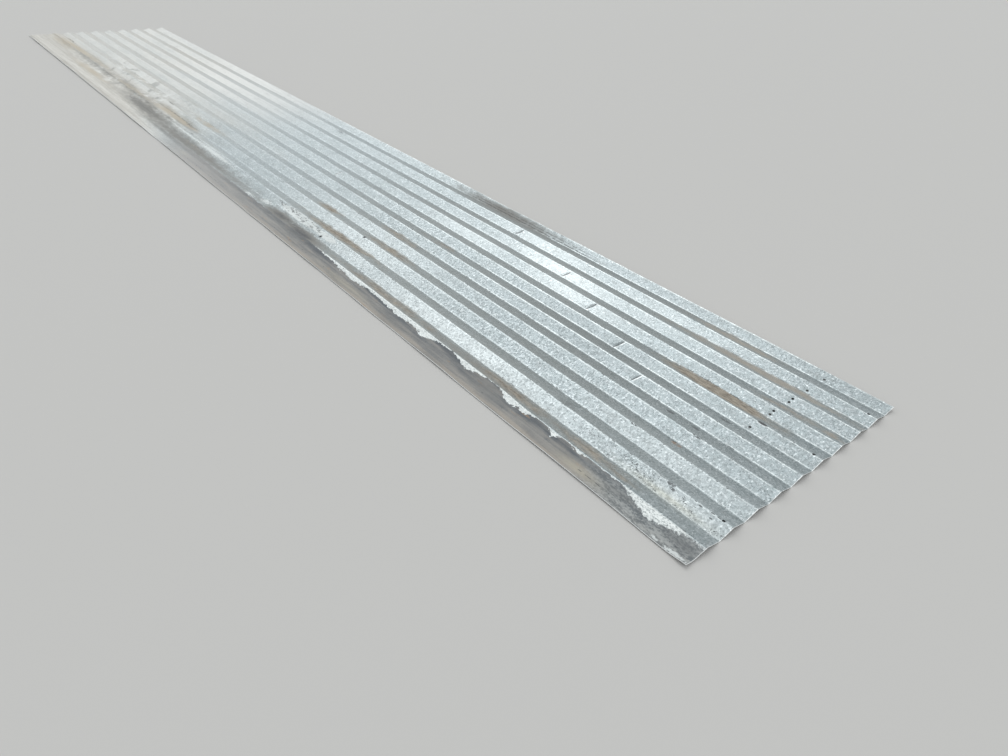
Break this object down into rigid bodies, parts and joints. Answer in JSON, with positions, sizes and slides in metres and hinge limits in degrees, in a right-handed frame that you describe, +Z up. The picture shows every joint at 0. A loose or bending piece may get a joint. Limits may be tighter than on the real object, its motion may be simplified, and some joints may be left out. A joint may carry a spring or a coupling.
{
  "type": "corrugated metal sheet",
  "caption": "Long thin galvanised steel roofing sheet, rolled into shallow waves that run along its length, with a few nail holes.",
  "frame": {"origin": "under the middle of the sheet, level with the underside of its valleys", "axes": "+X along the waves, towards the end with two rows of nail holes; +Y across the width; +Z up"},
  "size_m": [4.2672, 0.6604, 0.0094],
  "materials": {
    "galvanised_steel": "weathered galvanised, spangled, dull on the left strip"
  },
  "bodies": {
    "root": {"corrugated_sheet": "galvanised_steel"}
  },
  "joints": []
}
